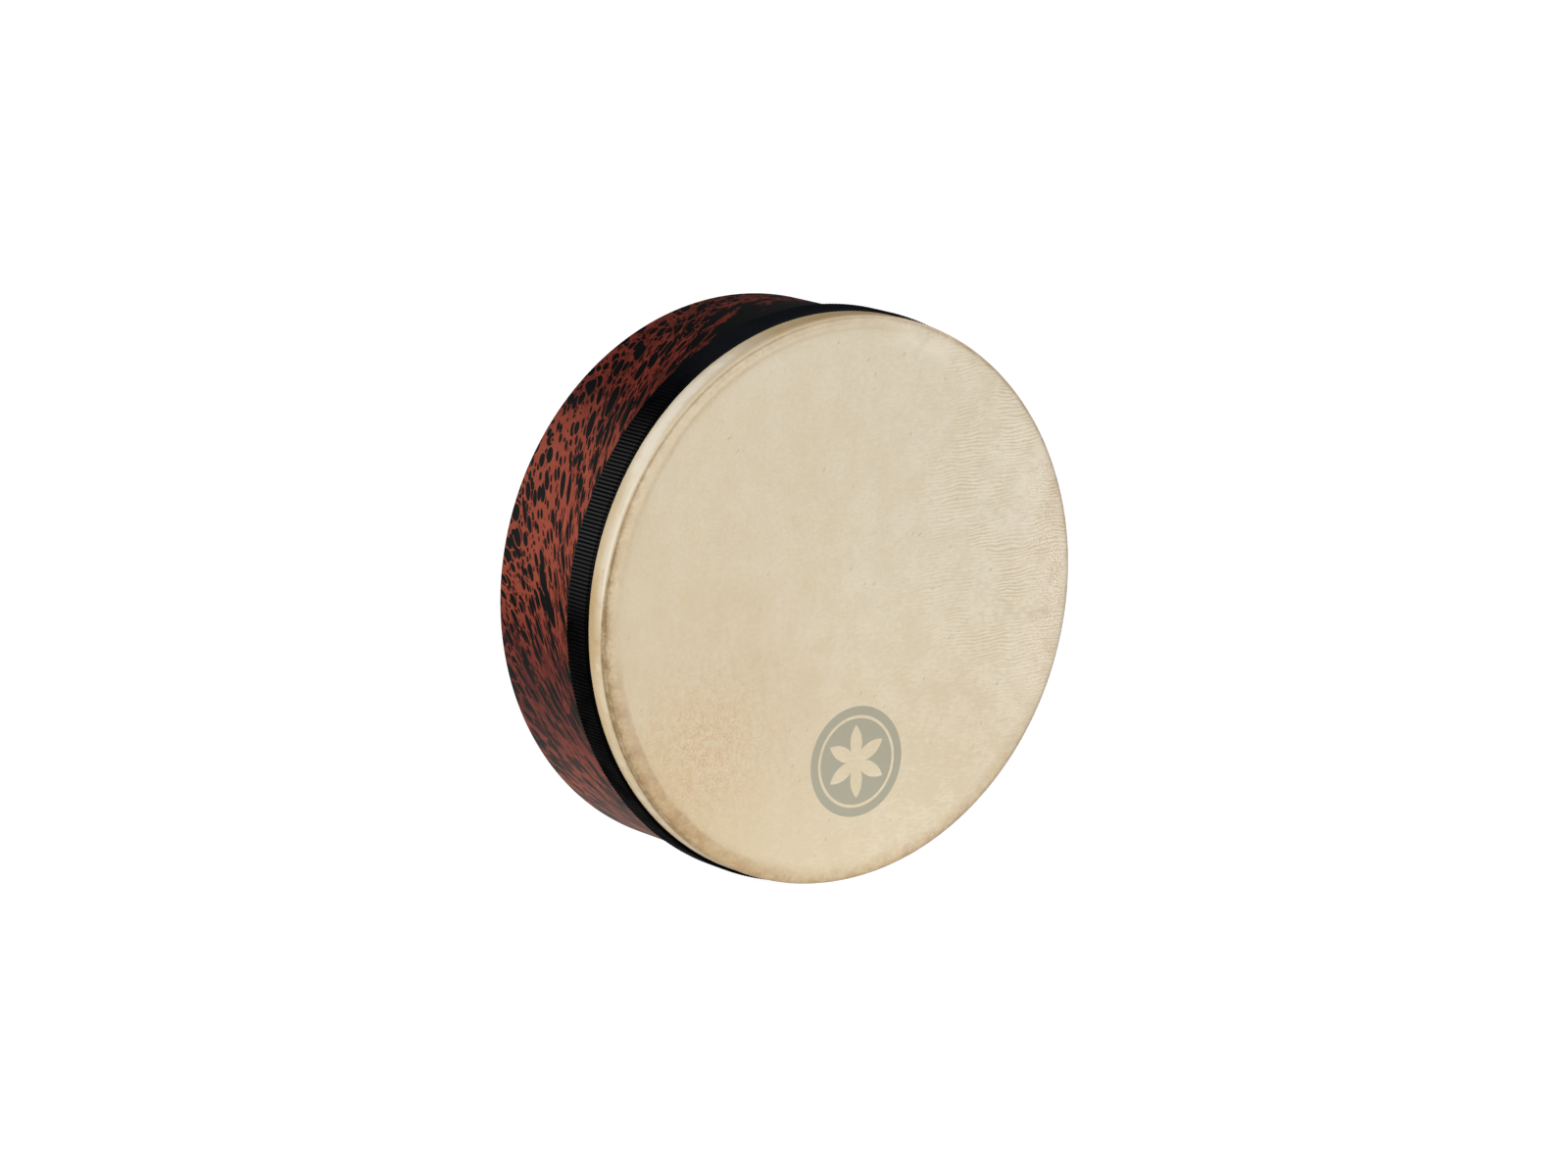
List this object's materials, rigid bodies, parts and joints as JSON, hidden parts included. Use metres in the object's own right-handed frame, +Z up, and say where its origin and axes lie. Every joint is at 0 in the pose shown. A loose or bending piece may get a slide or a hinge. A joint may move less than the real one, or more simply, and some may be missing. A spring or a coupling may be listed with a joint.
{
  "type": "frame drum",
  "caption": "Shallow round hand drum: laminated wooden shell open at the back, glued goatskin head over the front edge, and a woven ribbon round the skin's cut edge.",
  "frame": {"origin": "on the drum's axis, at the middle of its bounding box", "axes": "the head faces -Y and the open back faces +Y; +Z is up with the drum standing on its side, and the printed disc is below the middle of the head"},
  "size_m": [0.2082, 0.0702, 0.2082],
  "materials": {
    "lacquered_veneer": "satin lacquer, red-brown mottled with black",
    "bare_veneer": "clear satin on pale brown hardwood veneer",
    "goatskin": "natural cream goatskin, fine pores, one flat grey printed disc",
    "black_ribbon": "black ribbed woven ribbon"
  },
  "bodies": {
    "root": {"shell_ply_1": "lacquered_veneer", "shell_ply_2": "bare_veneer", "shell_ply_3": "bare_veneer", "shell_ply_4": "bare_veneer", "shell_ply_5": "bare_veneer", "shell_ply_6": "bare_veneer", "drum_head": "goatskin", "trim_ribbon": "black_ribbon"}
  },
  "joints": []
}
